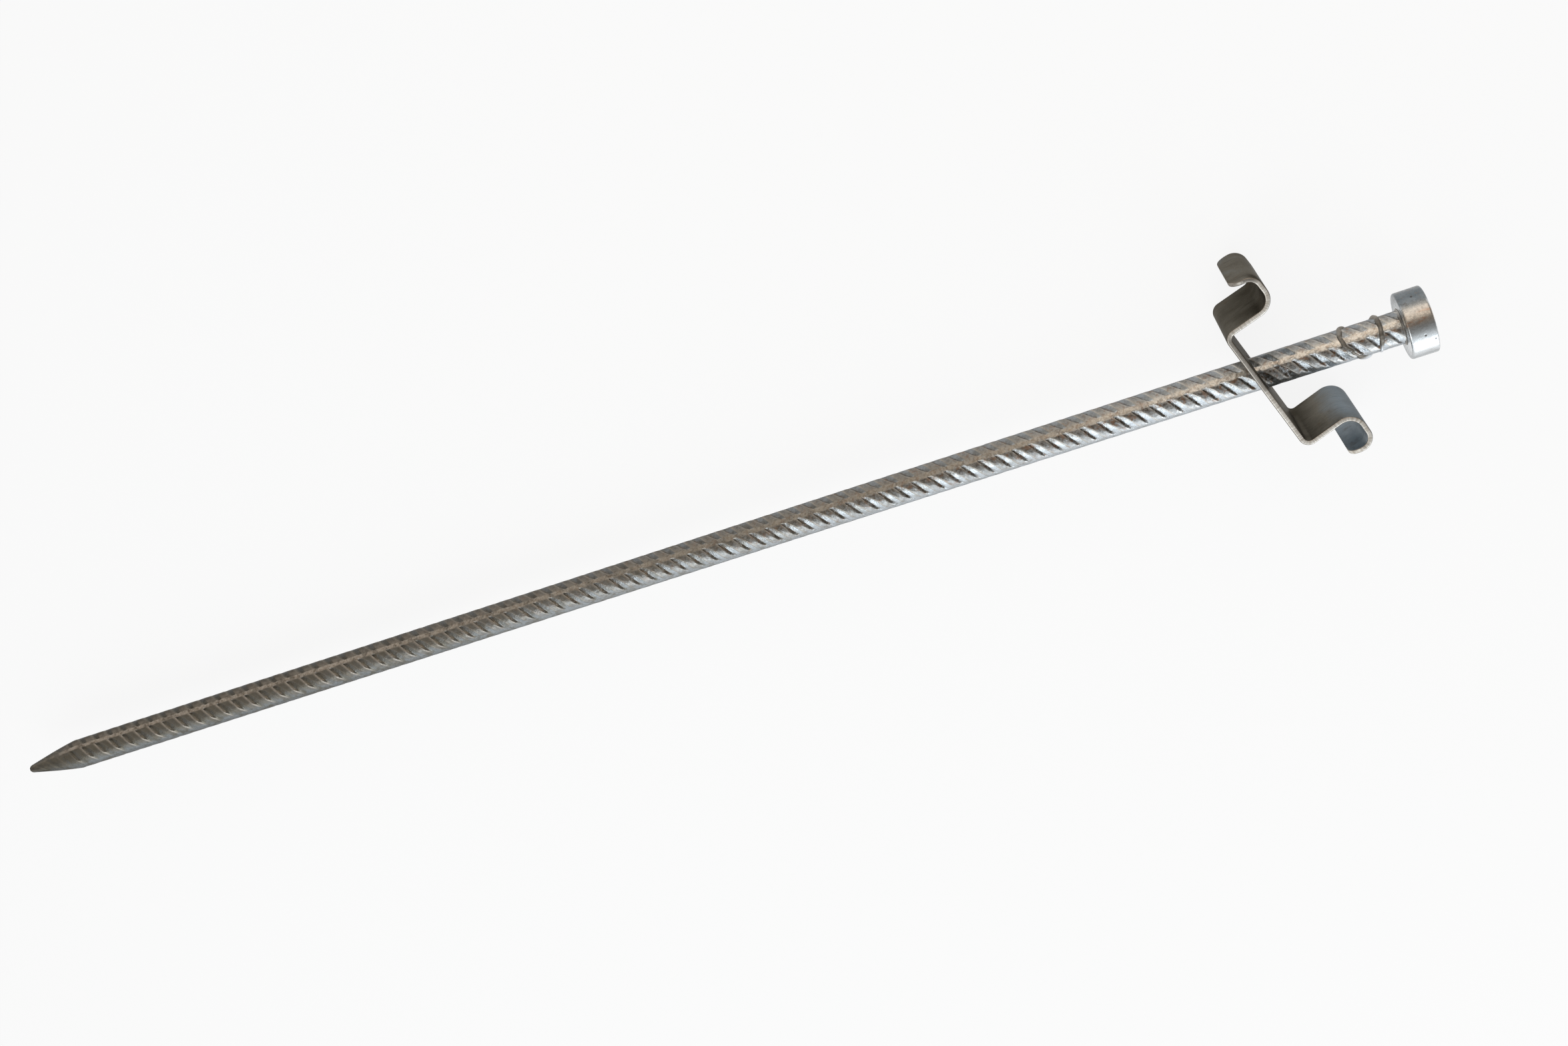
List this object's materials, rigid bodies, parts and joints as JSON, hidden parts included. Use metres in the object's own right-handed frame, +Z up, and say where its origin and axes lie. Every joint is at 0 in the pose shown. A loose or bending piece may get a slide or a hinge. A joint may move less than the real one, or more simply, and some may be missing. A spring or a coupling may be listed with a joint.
{
  "type": "tent peg",
  "caption": "Long ribbed steel ground stake with a thick round striking head and a loose bent hook plate for guy ropes, held on the rod by a spiral weld bead.",
  "frame": {"origin": "middle of the bounding box at the level of the hook plate's lower long edge, which is the lowest part", "axes": "+X along the rod from the point to the striking head, +Y towards the hook that leans away from the point's side, +Z up, across the width of the hook plate's strip"},
  "size_m": [0.8134, 0.105, 0.051],
  "materials": {
    "rod_steel": "dull zinc-coated ribbed bar",
    "head_steel": "zinc coated, lightly pitted",
    "weld_steel": "uneven weld metal under zinc",
    "plate_steel": "dull zinc-coated bent strip, bright cut edges"
  },
  "bodies": {
    "stake": {"rod": "rod_steel", "head": "head_steel", "head_seam": "weld_steel", "stop_bead": "weld_steel"},
    "hook_plate": {"hook_plate": "plate_steel"}
  },
  "joints": [
    {"name": "plate_slide", "type": "slide", "parent": "stake", "child": "hook_plate", "axis": [1, 0, 0], "range_m": [-0.685, 0.036]}
  ]
}
